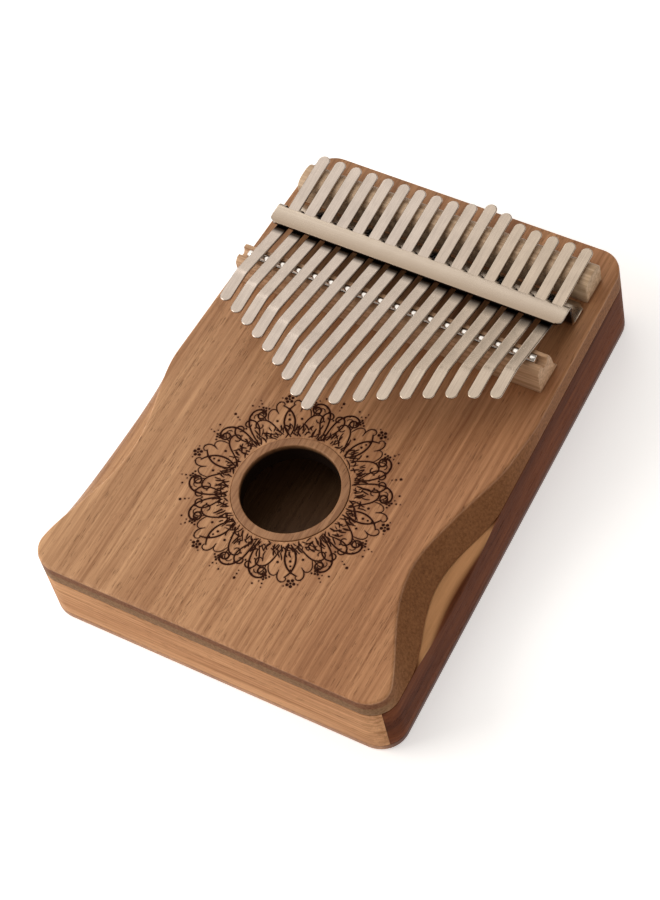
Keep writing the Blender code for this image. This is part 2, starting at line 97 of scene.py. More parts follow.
def add_piece(name, points, quads, layers=None, polygons=(), sharp=35.0):
    """Make a mesh, drop unused points, merge those that meet, and turn it outwards.

    A closed skin encloses a positive volume when its faces point out, so a negative volume
    means that every face has to be flipped.
    """
    mesh = bpy.data.meshes.new(name)
    faces = quads.tolist() + [list(polygon) for polygon in polygons]
    mesh.from_pydata(points.reshape(-1, 3).tolist(), [], faces)
    for layer, values in (layers or {}).items():
        attribute = mesh.attributes.new(layer, "FLOAT", "POINT")
        attribute.data.foreach_set("value", np.ascontiguousarray(values, dtype=np.float32).ravel())
    skin = bmesh.new()
    skin.from_mesh(mesh)
    loose = [point for point in skin.verts if not point.link_faces]
    bmesh.ops.delete(skin, geom=loose, context="VERTS")
    bmesh.ops.remove_doubles(skin, verts=skin.verts, dist=1e-7)
    if skin.calc_volume(signed=True) < 0:
        bmesh.ops.reverse_faces(skin, faces=skin.faces)
    skin.to_mesh(mesh)
    open_edges = sum(edge.is_boundary for edge in skin.edges)
    skin.free()
    mesh.shade_smooth()
    mesh.set_sharp_from_angle(angle=math.radians(sharp))
    print(f"{name}: {len(mesh.polygons)} faces, {open_edges} open edges")
    return put_in_scene(name, mesh)


def finish_piece(item, material, body, slot, *stands_for):
    """Give a piece its finish and its body, and let it stand for the model's plain part."""
    item.data.materials.append(material)
    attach(item, body)
    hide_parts(*stands_for)


def smooth_step(low, high, value):
    """Rise softly from 0 at low to 1 at high: three times the square less twice the cube."""
    share = np.clip((value - low) / (high - low), 0.0, 1.0)
    return share * share * (3 - 2 * share)


# %% [markdown]
# ## Wood
# The boards are an open-grained reddish hardwood under a thin satin oil. Wood is a stack of
# growth layers with long pores running along the trunk, so its look is one three-dimensional
# pattern that every face cuts in its own direction. A noise squeezed along the grain gives long
# streaks on the face of a board and a speckle on its end, without any picture. Three sizes of
# noise are mixed: broad bands of colour, fine fibres, and thin dark pores that are also hollow.

# %% A material that follows the grain
class Nodes:
    """Short names for building a material out of nodes."""

    def __init__(self, name):
        self.material = bpy.data.materials.new(name)
        self.material.use_nodes = True
        self.tree = self.material.node_tree
        self.shader = self.tree.nodes["Principled BSDF"]
        self.place = self.tree.nodes.new("ShaderNodeTexCoord").outputs["Object"]

    def add(self, kind, inputs=None, **settings):
        """Add a node, set its options, and connect or fill its inputs."""
        node = self.tree.nodes.new(kind)
        for option, value in settings.items():
            setattr(node, option, value)
        for socket, value in (inputs or {}).items():
            self.put(node.inputs[socket], value)
        return node

    def put(self, socket, value):
        """Connect a socket to an output, or give it a plain value or colour."""
        if isinstance(value, bpy.types.NodeSocket):
            self.tree.links.new(value, socket)
        else:
            socket.default_value = (*value, 1.0) if socket.type == "RGBA" else value

    def surface(self, settings):
        """Connect or fill inputs of the surface itself, such as its roughness."""
        for socket, value in settings.items():
            self.put(self.shader.inputs[socket], value)

    def paint(self, colour):
        """Give the surface its colour, and remember it for the next stain."""
        self.colour = colour
        self.surface({"Base Color": colour})

    def stain(self, share, colour, way="MIX"):
        """Mix a colour into the surface's colour by a share."""
        self.paint(self.blend(share, self.colour, colour, way))

    def axis(self, name):
        """How far along X, Y or Z of the piece's own coordinates."""
        return self.add("ShaderNodeSeparateXYZ", {"Vector": self.place}).outputs[name]

    def noise(self, scale, shift=(0.0, 0.0, 0.0), detail=4.0, roughness=0.6, distortion=0.0):
        """Cloudy values between 0 and 1, finer along an axis the larger its scale is."""
        place = self.add("ShaderNodeMapping", {"Vector": self.place, "Scale": scale, "Location": shift})
        settings = {"Vector": place.outputs["Vector"], "Scale": 1.0, "Detail": detail}
        settings.update({"Roughness": roughness, "Distortion": distortion})
        return self.add("ShaderNodeTexNoise", settings).outputs["Fac"]

    def remap(self, value, low, high, new_low=0.0, new_high=1.0):
        """Turn the range low to high into new_low to new_high, and stop at both ends."""
        settings = {"Value": value, "From Min": low, "From Max": high}
        settings.update({"To Min": new_low, "To Max": new_high})
        return self.add("ShaderNodeMapRange", settings).outputs["Result"]

    def math(self, operation, first, second):
        """One step of arithmetic on two values."""
        node = self.add("ShaderNodeMath", {0: first, 1: second}, operation=operation)
        return node.outputs[0]

    def ramp(self, value, stops):
        """Colours placed along a value, as (position, colour) stops."""
        node = self.add("ShaderNodeValToRGB", {"Fac": value})
        elements = node.color_ramp.elements
        while len(elements) < len(stops):
            elements.new(1.0)
        for element, (position, colour) in zip(elements, stops):
            element.position = position
            element.color = (*colour, 1.0)
        return node.outputs["Color"]

    def between(self, value, low, high, first, second):
        """The first colour where a value is low, the second where it is high."""
        return self.ramp(self.remap(value, low, high), [(0.0, first), (1.0, second)])

    def blend(self, share, first, second, way="MIX"):
        """Mix two colours by a share."""
        node = self.add("ShaderNodeMix", {"Factor": share}, data_type="RGBA", blend_type=way)
        colour_inputs = [socket for socket in node.inputs if socket.type == "RGBA"]
        for socket, value in zip(colour_inputs, (first, second)):
            self.put(socket, value)
        return next(socket for socket in node.outputs if socket.type == "RGBA")

    def layer(self, name):
        """A value stored on the mesh's points."""
        return self.add("ShaderNodeAttribute", attribute_name=name).outputs["Fac"]

    def bump(self, height, distance, strength, under=None):
        """Raise or sink the surface by a height that is only shaded, not modelled."""
        settings = {"Height": height, "Distance": distance, "Strength": strength}
        if under is not None:
            settings["Normal"] = under
        return self.add("ShaderNodeBump", settings).outputs["Normal"]


def wood(name, pale, middle, dark, along="Y", pores=1.0, bands=1.0, shine=0.42, seed=0.0, gloss=0.26):
    """Grain as three sizes of noise, each squeezed along one axis of the piece.

    The colour is the broad bands' tone times the streaks times the fibres, darker in the pores.
    """
    nodes = Nodes(name)

    def grain(across, lengthwise, **settings):
        scale = [lengthwise if axis == along else across for axis in "XYZ"]
        return nodes.noise(scale, (seed, seed * 0.7, seed * 1.3), **settings)

    broad = grain(60, 5, detail=5, roughness=0.55, distortion=0.25)
    streaks = grain(760, 17, detail=5, roughness=0.66, distortion=0.15)
    fibres = grain(3000, 150, detail=3, roughness=0.7)
    pore_field = grain(3300, 210, detail=2, roughness=0.5)
    pore_groups = grain(180, 12, detail=2, roughness=0.5)
    threshold = nodes.remap(pore_groups, 0.35, 0.7, 0.68, 0.58)
    pore = nodes.math("SUBTRACT", pore_field, threshold)
    pore = nodes.remap(pore, 0.0, 0.05, 0.0, pores)

    tone = nodes.remap(broad, 0.5 - 0.22 / bands, 0.5 + 0.22 / bands)
    streak_shade = nodes.between(streaks, 0.3, 0.7, (0.60, 0.50, 0.41), (1.22, 1.24, 1.24))
    fibre_shade = nodes.between(fibres, 0.3, 0.7, (0.86, 0.84, 0.82), (1.07, 1.07, 1.08))
    nodes.paint(nodes.ramp(tone, [(0.0, dark), (0.45, middle), (1.0, pale)]))
    nodes.stain(0.95, streak_shade, "MULTIPLY")
    nodes.stain(0.8, fibre_shade, "MULTIPLY")
    nodes.stain(nodes.math("MULTIPLY", pore, 0.52), tuple(part * 0.30 for part in dark))

    rough = nodes.remap(fibres, 0.25, 0.75, shine - 0.05, shine + 0.09)
    rough = nodes.math("ADD", rough, nodes.math("MULTIPLY", pore, 0.18))
    height = nodes.math("SUBTRACT", nodes.math("MULTIPLY", fibres, 0.5), pore)
    nodes.grooves = nodes.bump(height, 0.12 * MM, 0.55)
    nodes.surface({"Roughness": rough, "Normal": nodes.grooves, "Specular IOR Level": gloss})
    return nodes


# %% [markdown]
# ## The outline of the box
# The box narrows a little from the tail to the head, has rounded corners, and each long edge is
# scooped out so that it lies well in the palm. Instead of drawing this outline by hand, it is a
# rounded rectangle whose width is a straight function of the length, less a soft bump for the
# scoop. The right scoop is short and shallow where the sound board meets the wall, and reaches
# much deeper on the face, so the cut slopes. The left one only rolls the upper edge over.

# %% Outline and scoop
def as_arrays(box):
    """The low and the high corner of a box as arrays."""
    return [np.array(corner) for corner in box]


top_low, top_high = as_arrays(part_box("top_board"))
back_low, back_high = as_arrays(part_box("back_board"))
LENGTH = back_high[1] - back_low[1]
TOP = top_high[2]
GLUE_LINE = top_low[2]
BACK_TOP = back_high[2]
CORNER = 9.5 * MM
STRAIGHT = LENGTH / 2 - CORNER
TAIL_WIDTH, HEAD_WIDTH = 133 * MM, 119 * MM
SCOOP_Y = -43.5 * MM
MIDDLE_HALF = (TAIL_WIDTH + HEAD_WIDTH) / 4
FLAT = MIDDLE_HALF - CORNER


def half_width(y):
    """Half the width: a straight line from the tail's half width to the head's."""
    return (TAIL_WIDTH + (HEAD_WIDTH - TAIL_WIDTH) * (y / LENGTH + 0.5)) / 2


def scoop(y, reach, half_length, middle=SCOOP_Y):
    """Depth of a scoop: its reach times the square of (one less the squared offset)."""
    offset = np.clip((y - middle) / half_length, -1, 1)
    return reach * (1 - offset ** 2) ** 2


def face_scoop(y):
    """How far the right scoop reaches in on the face, with a long soft run-out to the head."""
    return scoop(y, 14.4 * MM, 48 * MM) + scoop(y, 2.4 * MM, 27 * MM, -4 * MM)


def glue_scoop(y):
    """How far the right scoop reaches in at the glue line under the sound board."""
    return scoop(y, 7.0 * MM, 33 * MM, -42 * MM)


def sloping_cut(share):
    """The scoops at a share of the way from the face (0) down to the glue line (1).

    The right one is a straight slope. The left one only rolls the edge over, so its reach
    falls with the power of what is left of the way.
    """
    def depth(y, right):
        slope = face_scoop(y) * (1 - share) + glue_scoop(y) * share
        roll = scoop(y, 8.0 * MM, 42 * MM) * (1 - share) ** 2.9
        return np.where(right, slope, roll)
    return depth


def rounded_rectangle(count):
    """(u, y) points evenly around a rounded rectangle, four straight sides and four arcs."""
    quarter = np.linspace(0, math.pi / 2, count // 16)
    parts = []
    for start, (right, up) in enumerate(((1, 1), (-1, 1), (-1, -1), (1, -1))):
        angle = quarter + start * math.pi / 2
        u, y = right * FLAT + CORNER * np.cos(angle), up * STRAIGHT + CORNER * np.sin(angle)
        parts.append(np.stack([u, y], 1))
    joined = []
    for index, part in enumerate(parts):
        following = parts[(index + 1) % 4]
        share = np.linspace(0, 1, count // 6)[1:-1, None]
        joined += [part, part[-1] * (1 - share) + following[0] * share]
    return np.concatenate(joined)


def unit(arrows):
    """Arrows of length one that point the same way."""
    return arrows / np.linalg.norm(arrows, axis=-1, keepdims=True)


def outline_at(directions, scoop_depth, trim, centre_y):
    """Where rays from a centre meet the box's outline, less the scoop and an even trim.

    The outline's points are sorted by their direction from the centre, and a ray's point is
    read off between its two neighbours. The trim moves each point along the inward normal.
    """
    rectangle = rounded_rectangle(3000)
    u, y = rectangle[:, 0], rectangle[:, 1]
    x = u * half_width(y) / MIDDLE_HALF - scoop_depth(y, u > 0) * u / MIDDLE_HALF
    tangent = unit(np.stack([np.roll(x, -1) - np.roll(x, 1), np.roll(y, -1) - np.roll(y, 1)], 1))
    x = x - tangent[:, 1] * trim
    y = y + tangent[:, 0] * trim
    angle = np.arctan2(y - centre_y, x)
    order = np.argsort(angle)
    angle, x, y = angle[order], x[order], y[order]
    wrapped = (directions + math.pi) % (2 * math.pi) - math.pi
    found = [np.interp(wrapped, angle, values, period=2 * math.pi) for values in (x, y)]
    return np.stack(found, axis=-1)


print("box:", round(LENGTH / MM, 1), "mm long,", round(TOP / MM, 1), "mm thick")

# %% [markdown]
# ## The wreath around the sound hole
# The maker burns a wreath into the sound board around the hole: a dense ring of short feathery
# strokes, then scrolls that curl outwards, closed buds, small flowers and dots. A scroll is a
# curve whose bend grows steadily along its length, so it starts almost straight and ends in a
# tight curl. This wreath is a generic one of twelve repeated plumes. Each point of the sound
# board stores how far it is from the nearest stroke, which stays sharp at any zoom, where a
# stored black or white would show the grid.

# %% Strokes of the wreath
HOLE_Y = -34 * MM
hole_low, hole_high = as_arrays(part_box("sound_hole_ring"))
RING_OUTER = (hole_high[0] - hole_low[0]) / 2
STROKE_STEP = 0.12
FAR = 2.0
strokes = []


def add_stroke(x, y, width):
    """Keep a stroke as points in millimetres around the hole, each with its half width."""
    strokes.append((np.stack([x, y], 1), width))


def place(along, side, turn):
    """Put points given outwards and sideways of a plume into the plan, turned about the hole."""
    out = np.cos(turn) * along - np.sin(turn) * side
    across = np.sin(turn) * along + np.cos(turn) * side
    return out, across


def scroll(turn, start, heading, length, bends, width, mirror=1, growth=1.5):
    """A curl: its heading is the running sum of a bend that grows along the length."""
    distance = np.arange(0, length, STROKE_STEP)
    bend = bends[0] + (bends[1] - bends[0]) * (distance / length) ** growth
    direction = heading + np.cumsum(bend) * STROKE_STEP
    along = start[0] + np.cumsum(np.cos(direction)) * STROKE_STEP
    side = (start[1] + np.cumsum(np.sin(direction)) * STROKE_STEP) * mirror
    swell = width * (0.62 + 0.38 * np.sin(math.pi * distance / length) ** 0.6)
    add_stroke(*place(along, side, turn), swell)


def dots(turn, spots, mirror=1):
    """Round spots, each given by its place outwards, its place sideways and its radius."""
    for along, side, radius in spots:
        add_stroke(*place(np.array([along]), np.array([side * mirror]), turn), np.array([radius]))


def flower(turn, along, radius):
    """Five petals around a middle."""
    for petal in np.arange(5) * 2 * math.pi / 5:
        out, across = along + radius * math.cos(petal), radius * math.sin(petal)
        dots(turn, [(out, across, radius * 0.46)])
    dots(turn, [(along, 0.0, radius * 0.34)])


def plume(turn, scrolls, side_spots, middle_spots):
    """Scrolls and spots on both sides of a plume's middle line, and spots along it."""
    for mirror in (1, -1):
        for start, heading, length, bends, width, growth in scrolls:
            scroll(turn, start, heading, length, bends, width, mirror, growth)
        dots(turn, side_spots, mirror)
    dots(turn, [(along, 0.0, radius) for along, radius in middle_spots])


def plume_with_curls(turn):
    """Two mirrored scrolls on one foot, with smaller curls and dots about them."""
    plume(turn, [((21.0, 0.4), 0.02, 27.0, (0.012, 1.15), 0.29, 2.2),
                 ((22.5, 1.4), 0.55, 15.0, (0.0, -1.25), 0.25, 2.0),
                 ((28.5, 5.6), -0.2, 6.0, (0.15, 1.5), 0.21, 1.5)],
          [(31.2, 2.9, 0.40), (32.6, 4.3, 0.30), (35.6, 6.3, 0.32), (34.0, 7.9, 0.24), (27.4, 2.6, 0.3)],
          [(36.2, 0.46), (34.6, 0.30), (33.3, 0.22), (29.0, 0.34)])


def plume_with_bud(turn):
    """A drop-shaped bud between two leaning curls, with a flower at its tip."""
    plume(turn, [((21.0, 0.2), 0.60, 13.5, (-0.10, -0.145), 0.29, 1.0),
                 ((21.5, 2.0), 0.85, 17.0, (-0.085, 1.1), 0.25, 1.8),
                 ((29.8, 3.6), 0.5, 8.0, (-0.10, -1.2), 0.20, 1.5)],
          [(27.0, 4.1, 0.42), (34.4, 3.2, 0.30), (36.0, 2.3, 0.24), (32.2, 6.8, 0.34), (30.6, 7.9, 0.26)],
          [(27.2, 0.42), (29.0, 0.34), (30.4, 0.26), (31.6, 0.20)])
    flower(turn, 35.3, 1.15)


def full_turn(count):
    """Angles spaced evenly around a circle."""
    return np.linspace(0, 2 * math.pi, count, endpoint=False)


def feathers(count, seed):
    """Short bent strokes packed close to the ring, each leaning its own way."""
    random = np.random.default_rng(seed)
    turns = full_turn(count) + random.normal(0, 0.012, count)
    starts = random.uniform(20.1, 24.0, count)
    leans = random.normal(0, 0.6, count)
    for turn, start, lean in zip(turns, starts, leans):
        bend = random.uniform(-0.22, 0.28)
        length = random.uniform(1.2, 3.0)
        scroll(turn, (start, 0.0), lean, length, (bend, bend * 2), random.uniform(0.17, 0.27))


def sprig(turn):
    """A thin double tendril with a small flower, in the gap between two plumes."""
    plume(turn, [((28.5, 0.3), 0.15, 6.5, (0.05, 1.15), 0.19, 1.6)], [], [(35.6, 0.30), (37.0, 0.22)])
    flower(turn, 33.2, 0.85)


PLUMES = 12
FEATHERS = 400
for index in range(PLUMES):
    turn = math.pi / 2 + index * 2 * math.pi / PLUMES
    if index % 2 == 0:
        plume_with_curls(turn)
    else:
        plume_with_bud(turn)
    sprig(turn + math.pi / PLUMES)
feathers(FEATHERS, 4)
print("wreath:", len(strokes), "strokes")


def distance_to_strokes(x, y):
    """Millimetres from each point to the nearest stroke's edge, negative inside a stroke.

    It is the smallest, over the stroke's points, of the distance less the half width there.
    Points far from every stroke keep the value FAR.
    """
    nearest = np.full(x.shape, FAR)
    for line, width in strokes:
        low = line.min(axis=0) - 1.5
        high = line.max(axis=0) + 1.5
        near = (x > low[0]) & (x < high[0]) & (y > low[1]) & (y < high[1])
        gap = np.hypot(x[near][:, None] - line[:, 0], y[near][:, None] - line[:, 1]) - width
        nearest[near] = np.minimum(nearest[near], gap.min(axis=1))
    return nearest


# %% [markdown]
# ## The sound board
# It is a thick board of open-grained wood with the hole, a step for the ring, a softened upper
# edge and the cut of the two scoops. A Boolean could cut the hole, but then the mesh around the
# wreath would be ragged. Here the whole skin is one closed tube: each column is a ray from the
# hole's centre, and the rows run up the hole's wall, over the face, down the edge and back
# underneath. The rows are closest together where the wreath is.

# %% Skin of the sound board
COLUMNS = 960
directions = np.linspace(-math.pi, math.pi, COLUMNS, endpoint=False)
rays = np.stack([np.cos(directions), np.sin(directions)], 1)
HOLE_RADIUS = 17.0 * MM
STEP_RADIUS = RING_OUTER + 0.15 * MM
STEP_Z = TOP - 2.2 * MM


def at_height(plan, z):
    """Give points in the plan one height."""
    return np.column_stack([plan, np.full(len(plan), z)])


def ring_row(radius, z):
    """A circle around the hole at one height."""
    return at_height(rays * radius + (0.0, HOLE_Y), z)


def edge_row(share, trim, z):
    """The outline at a height, with the scoops at a share of the way down to the glue line."""
    return at_height(outline_at(directions, sloping_cut(share), trim, HOLE_Y), z)


def softened(radius):
    """Steps around a quarter circle: how far in from the side, and how far from the face."""
    return [(radius * (1 - np.sin(angle)), radius * (1 - np.cos(angle)))
            for angle in np.radians([22, 45, 67, 90])]


WREATH_END = 38 * MM
wreath_radii = np.linspace(STEP_RADIUS + 0.25 * MM, WREATH_END, 64)
rows = [ring_row(HOLE_RADIUS, z) for z in (GLUE_LINE, (GLUE_LINE + STEP_Z) / 2, STEP_Z)]
rows += [ring_row(radius, STEP_Z) for radius in (HOLE_RADIUS + 0.6 * MM, STEP_RADIUS)]
rows += [ring_row(STEP_RADIUS, z) for z in (TOP - 1.1 * MM, TOP - 0.2 * MM)]
rows += [ring_row(STEP_RADIUS + 0.07 * MM, TOP - 0.05 * MM)]
first_wreath_row = len(rows)
rows += [ring_row(radius, TOP) for radius in wreath_radii]

EDGE_RADIUS = 0.9 * MM
face_edge = edge_row(0.0, EDGE_RADIUS, TOP)
wreath_edge = rows[-1]
rows += [wreath_edge * (1 - share) + face_edge * share for share in np.linspace(0, 1, 9)[1:]]
rows += [edge_row(0.0, trim, TOP - drop) for trim, drop in softened(EDGE_RADIUS)]
first_cut_row = len(rows)
cut_shares = np.linspace(0, 1, 11)[1:] ** 1.4
lower_edge = GLUE_LINE + 0.25 * MM
for share in cut_shares:
    z = TOP - EDGE_RADIUS + (lower_edge - TOP + EDGE_RADIUS) * share
    rows.append(edge_row(share, 0.0, z))
rows += [edge_row(1.0, 0.1 * MM, GLUE_LINE + 0.07 * MM), edge_row(1.0, 0.3 * MM, GLUE_LINE)]
under_edge = rows[-1]
rows += [under_edge * (1 - share) + rows[0] * share for share in (0.4, 0.8)]
board = np.stack(rows)

stroke = np.full(board.shape[:2], FAR)
wreath = slice(first_wreath_row, first_wreath_row + len(wreath_radii))
stroke[wreath] = distance_to_strokes(board[wreath, :, 0] / MM, (board[wreath, :, 1] - HOLE_Y) / MM)
board[wreath, :, 2] -= 0.10 * MM * smooth_step(0.12, -0.22, stroke[wreath])

on_end = smooth_step(LENGTH / 2 - CORNER - 1 * MM, LENGTH / 2 - 3 * MM, np.abs(board[:, :, 1]))
on_right = (board[:, :, 0] > 0) * (1 - on_end)
# The edge band's share: full at the ends and along the right side, a trace along the left. On the sides
# the difference is painted shade, as the right side faces away from the light.
edge_oil_and_painted_shade = np.maximum(on_end, np.where(board[:, :, 0] > 0, 1.0, 0.15))
edge_oil_and_painted_shade[:first_cut_row - 1] = 0.0
edge_oil_and_painted_shade[first_cut_row - 1] *= 0.5
# The hole's wall, the hidden step under the ring and the underside next to the hole are marked for
# painted shade: they are painted near black, as the inside of the box is dark.
hole_painted_shade = np.zeros(board.shape[:2])
HOLE_ROWS = 6
hole_painted_shade[:HOLE_ROWS] = hole_painted_shade[-1] = 1.0
board_quads = grid_quads(*board.shape[:2], True, True)
board_layers = {"stroke": stroke, "edge": edge_oil_and_painted_shade, "right_side": on_right, "inside": hole_painted_shade}
sound_board = add_piece("sound_board", board, board_quads, board_layers)
print("sound board:", len(board_quads) * 2, "triangles")

# %% [markdown]
# The sound board's finish starts from the reddish wood, and is painted from a paler left to a redder,
# slightly darker right: painted light, falling from the left. The burnt strokes are dark brown with a
# faint scorched rim, and slightly sunk. The edge band has soaked up more oil, so it is darker and
# speckled. It is laid on in full along the right side, which faces away from the light, and only
# faintly along the left, so on the sides its darkness is partly painted shade. At the tail and the
# head it shows two layers, a reddish one over an olive one, and along the right side it is sanded
# wood of one tone.

# %% Finish of the sound board
nodes = wood("oiled_sound_board", (0.61, 0.358, 0.198), (0.455, 0.244, 0.127),
             (0.30, 0.141, 0.066), seed=0.31)
# Painted light: the board is painted paler on the left, where the light falls, and darker and redder
# toward the right.
painted_light_drift = nodes.between(nodes.axis("X"), -50 * MM, 60 * MM, (1.06, 1.06, 1.04), (1.07, 0.96, 0.87))
nodes.stain(1.0, painted_light_drift, "MULTIPLY")
speckle = nodes.noise((1100, 1100, 1100), detail=3, roughness=0.7)
upper, lower, sanded = (nodes.between(speckle, 0.28, 0.72, *colours) for colours in (
    ((0.100, 0.037, 0.018), (0.235, 0.098, 0.048)),
    ((0.125, 0.067, 0.031), (0.285, 0.163, 0.082)),
    ((0.155, 0.062, 0.026), (0.330, 0.146, 0.061))))
band = nodes.blend(nodes.remap(nodes.axis("Z"), TOP - 3.8 * MM, TOP - 4.6 * MM), upper, lower)
band = nodes.blend(nodes.layer("right_side"), band, sanded)
edge = nodes.layer("edge")
nodes.stain(nodes.math("MULTIPLY", edge, 0.92), band)
# Painted shade: the marked rows around the hole are painted near black.
nodes.stain(nodes.layer("inside"), (0.012, 0.006, 0.004))
distance = nodes.layer("stroke")
rim = nodes.remap(distance, 0.0, 0.45, 0.42, 0.0)
burnt = nodes.remap(distance, -0.05, 0.07, 1.0, 0.0)
char_noise = nodes.noise((1500, 1500, 1500), detail=2)
char = nodes.ramp(char_noise, [(0.3, (0.016, 0.004, 0.002)), (0.75, (0.050, 0.015, 0.008))])
nodes.stain(rim, (0.16, 0.060, 0.038))
nodes.stain(burnt, char)
matt = nodes.math("MAXIMUM", edge, burnt)
sunk = nodes.remap(distance, -0.12, 0.12, 0.0, 1.0)
nodes.surface({"Specular IOR Level": nodes.remap(matt, 0.0, 1.0, 0.24, 0.02),
               "Normal": nodes.bump(sunk, 0.22 * MM, 0.8, nodes.grooves)})
finish_piece(sound_board, nodes.material, "case", "top_wood", "top_board")

# %% [markdown]
# ## The ring of the sound hole
# A narrow wooden band is let into the step around the hole and stands a hair proud of the face.
# It is turned on a lathe, so its shape is a small profile carried around the hole's axis. The
# grain runs straight across it, because it was cut out of a flat piece.

# %% Turned ring
def turned(profile, centre, count):
    """Each (radius, height) of the profile goes around the axis: radius times cosine and sine."""
    angle = full_turn(count)
    x = centre[0] + profile[:, :1] * np.cos(angle)
    y = centre[1] + profile[:, :1] * np.sin(angle)
    z = np.broadcast_to(centre[2] + profile[:, 1:], x.shape)
    return np.stack([x, y, z], axis=-1)


def corner_curves(corners, before, after, reach, steps):
    """A curve at every corner, from reach before it to reach after it.

    The curve mixes three points by the squares of the shares, like a parabola.
    """
    start = corners + unit(before - corners) * reach
    end = corners + unit(after - corners) * reach
    share = np.linspace(0, 1, steps + 1)[None, :, None]
    curve = (1 - share) ** 2 * start[:, None] + 2 * share * (1 - share) * corners[:, None]
    return (curve + share ** 2 * end[:, None]).reshape(-1, 2)


ring_inner = RING_OUTER - 2.9 * MM
ring_top = hole_high[2] - TOP
ring_foot = -2.0 * MM
ring_corners = np.array([(ring_inner, ring_foot), (RING_OUTER, ring_foot),
                         (RING_OUTER, ring_top), (ring_inner, ring_top)])
ring_softness = np.array([0.1, 0.1, 0.25, 0.45])[:, None] * MM
ring_profile = corner_curves(ring_corners, np.roll(ring_corners, 1, axis=0),
                             np.roll(ring_corners, -1, axis=0), ring_softness, 4)
ring_points = turned(ring_profile, (0.0, HOLE_Y, TOP), 240)
# The lower part of the ring's profile, its bore below the chamfer, is marked for painted shade.
bore_painted_shade = smooth_step(ring_top - 0.5 * MM, ring_top - 1.1 * MM, ring_profile[:, 1:])
ring_layers = {"inside": np.broadcast_to(bore_painted_shade, ring_points.shape[:2])}
ring_quads = grid_quads(*ring_points.shape[:2], True, True)
ring = add_piece("sound_hole_band", ring_points, ring_quads, ring_layers)
nodes = wood("turned_ring_wood", (0.50, 0.275, 0.145), (0.39, 0.20, 0.10),
             (0.29, 0.138, 0.065), seed=2.7, shine=0.36)
# Painted shade: the bore is painted near black.
nodes.stain(nodes.layer("inside"), (0.020, 0.010, 0.006))
finish_piece(ring, nodes.material, "case", "ring_wood", "sound_hole_ring")

# %% [markdown]
# ## The walls
# Four boards stand on the back and meet at the corners in mitres. The outer corners are rounded
# after gluing, so the seam shows as a fine line in the middle of each corner. In the right scoop
# the sander has cut past the glue line into the upper part of the side wall: a pale crescent of
# fresh wood lies there like a ledge and rolls over softly into the dark oiled side. Each wall is
# a cross-section carried along its outer path, and the section changes where the scoop is.

# %% Paths and sections of the walls
WALL = 9.5 * MM
WALL_BOTTOM = BACK_TOP + 0.05 * MM
WALL_TOP = GLUE_LINE - 0.12 * MM
MITRE = 0.06 * MM
LEDGE_SHARE = 0.45
FRESH = (0.60, 0.31, 0.145)
INNER_Y = LENGTH / 2 - WALL


def corner_path(start, end, u_sign, y_sign):
    """Half of a corner's arc in (u, y), with its angles in degrees from the side's direction."""
    angle = np.radians(np.linspace(start, end, 14))
    u = u_sign * (FLAT + CORNER * np.cos(angle))
    y = y_sign * (STRAIGHT + CORNER * np.sin(angle))
    return np.stack([u, y], 1)


def side_path(side):
    """Outer path of a side wall, tail mitre to head mitre."""
    middle = np.linspace(-STRAIGHT, STRAIGHT, 160)[1:-1]
    run = np.stack([np.full(middle.shape, side * MIDDLE_HALF), middle], 1)
    return np.concatenate([corner_path(45, 0, side, -1), run, corner_path(0, 45, side, 1)])


def end_path(end):
    """Outer path of the head (1) or tail (-1) wall, left mitre to right mitre."""
    middle = np.linspace(-FLAT, FLAT, 60)[1:-1]
    run = np.stack([middle, np.full(middle.shape, end * LENGTH / 2)], 1)
    return np.concatenate([corner_path(45, 90, -1, end), run, corner_path(90, 45, 1, end)])


def wall_points(outer, inner, scoop_here):
    """Carry the wall's section along a path.

    A section point is given by its depth in from the outer path and its height. Where the
    sound board is cut back, nearly half of that width is a ledge, and the rest is a shoulder,
    a quarter of a circle.
    """
    thickness = np.linalg.norm(inner - outer, axis=1)
    inward = unit(inner - outer)
    soft = 0.15 * MM
    cut_back = glue_scoop(outer[:, 1]) * scoop_here
    ledge = cut_back * LEDGE_SHARE
    shoulder = np.maximum(cut_back - ledge, soft)
    ledge_drop = ledge * 0.25
    crest = WALL_TOP - ledge_drop
    columns = []

    def add(depth, height):
        columns.append([np.broadcast_to(value, (len(outer),)) for value in (depth, height)])

    add(soft, WALL_BOTTOM)
    add(soft * 0.3, WALL_BOTTOM + soft * 0.3)
    for share in np.linspace(0, 1, 6):
        low = WALL_BOTTOM + soft
        add(0.0, low + (crest - shoulder - low) * share)
    for angle in np.radians(np.linspace(0, 90, 12)[1:]):
        add(shoulder * (1 - np.cos(angle)), crest - shoulder * (1 - np.sin(angle)))
    for share in (0.2, 0.4, 0.6, 0.8, 1.0):
        add(shoulder + ledge * share, crest + ledge_drop * share)
    for share in (0.3, 1.0):
        add(shoulder + ledge + (thickness - soft - shoulder - ledge) * share, WALL_TOP)
    for height in (WALL_TOP - soft, (WALL_TOP + WALL_BOTTOM) / 2, WALL_BOTTOM + soft):
        add(thickness, height)
    add(thickness - soft, WALL_BOTTOM)
    depth, height = np.stack(columns, axis=-1)
    plan = outer[:, None, :] + inward[:, None, :] * depth[:, :, None]
    points = np.concatenate([plan, height[:, :, None]], axis=2)
    below_crest = (WALL_TOP - height) / MM
    fresh = smooth_step(2.3, 0.7, below_crest) * smooth_step(0.05, 0.7, ledge / MM)[:, None]
    fresh = fresh * (depth > 1e-6) * (depth < thickness[:, None] * 0.98)
    # The inner face of the wall is marked for painted shade, the dark inside of the box.
    inside = (depth > thickness[:, None] * 0.9).astype(float)
    return points, fresh, inside


def inner_edge(outer):
    """The nearest point on the inside of the box for every point of an outer path."""
    y = np.clip(outer[:, 1], -INNER_Y, INNER_Y)
    limit = half_width(y) - WALL
    return np.stack([np.clip(outer[:, 0], -limit, limit), y], 1)


